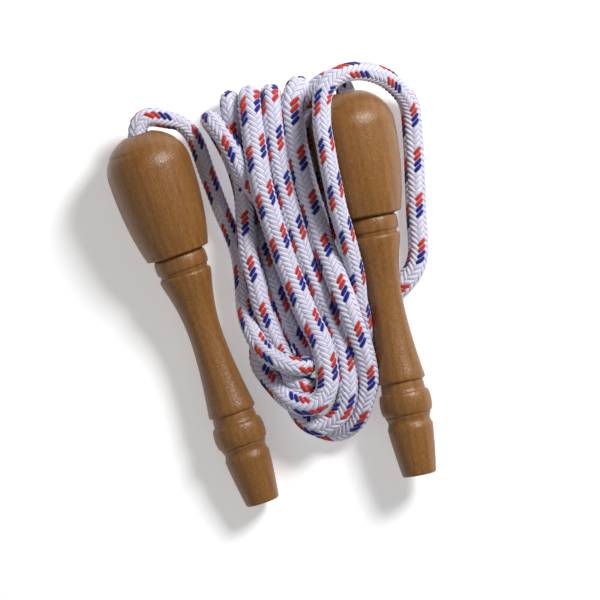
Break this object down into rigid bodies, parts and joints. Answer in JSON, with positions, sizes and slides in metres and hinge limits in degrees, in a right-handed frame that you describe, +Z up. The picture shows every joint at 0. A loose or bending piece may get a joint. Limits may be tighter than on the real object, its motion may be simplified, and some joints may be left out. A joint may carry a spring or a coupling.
{
  "type": "skipping rope",
  "caption": "Skipping rope with turned wooden handles and a braided white rope with red and blue flecks, put away as a wound hank lying between its handles.",
  "frame": {"origin": "on the resting surface, under the centre of the two handles' box", "axes": "+Z up, +Y along the handles towards their rope mouths, +X towards the right handle"},
  "size_m": [0.1345, 0.1822, 0.0409],
  "materials": {
    "beech": "clear satin lacquer",
    "braid": "white braided yarn with red and blue flecks",
    "thread": "waxed twine",
    "brad": "plain wire"
  },
  "bodies": {
    "rope": {"rope_hank": "braid", "rope_lead_left": "braid", "rope_lead_right": "braid", "rope_loop_right": "braid"},
    "left_neck": {"rope_neck_left": "braid"},
    "left_handle": {"handle_left": "beech", "rope_end_left": "braid", "end_whipping_left": "thread", "fixing_pin_left": "brad"},
    "right_neck": {"rope_neck_right": "braid"},
    "right_handle": {"handle_right": "beech", "rope_end_right": "braid", "end_whipping_right": "thread", "fixing_pin_right": "brad"}
  },
  "joints": [
    {"name": "left_swing", "type": "hinge", "parent": "rope", "child": "left_neck", "pos_m": [-0.055, 0.0679, 0.01884], "axis": [0, 0, 1], "range_deg": [-70, 2], "deforming": ["rope_lead_left", "rope_neck_left"]},
    {"name": "left_twist", "type": "hinge", "parent": "left_neck", "child": "left_handle", "pos_m": [-0.055, 0.0679, 0.01884], "axis": [-0.3217, 0.9449, 0.0602], "range_deg": [-90, 90]},
    {"name": "right_swing", "type": "hinge", "parent": "rope", "child": "right_neck", "pos_m": [0.03, 0.0852, 0.01786], "axis": [0, 0, 1], "range_deg": [0, 3], "deforming": ["rope_lead_right", "rope_neck_right", "rope_loop_right"]},
    {"name": "right_twist", "type": "hinge", "parent": "right_neck", "child": "right_handle", "pos_m": [0.03, 0.0852, 0.01786], "axis": [-0.1908, 0.9815, 0.0175], "range_deg": [-90, 90]}
  ]
}
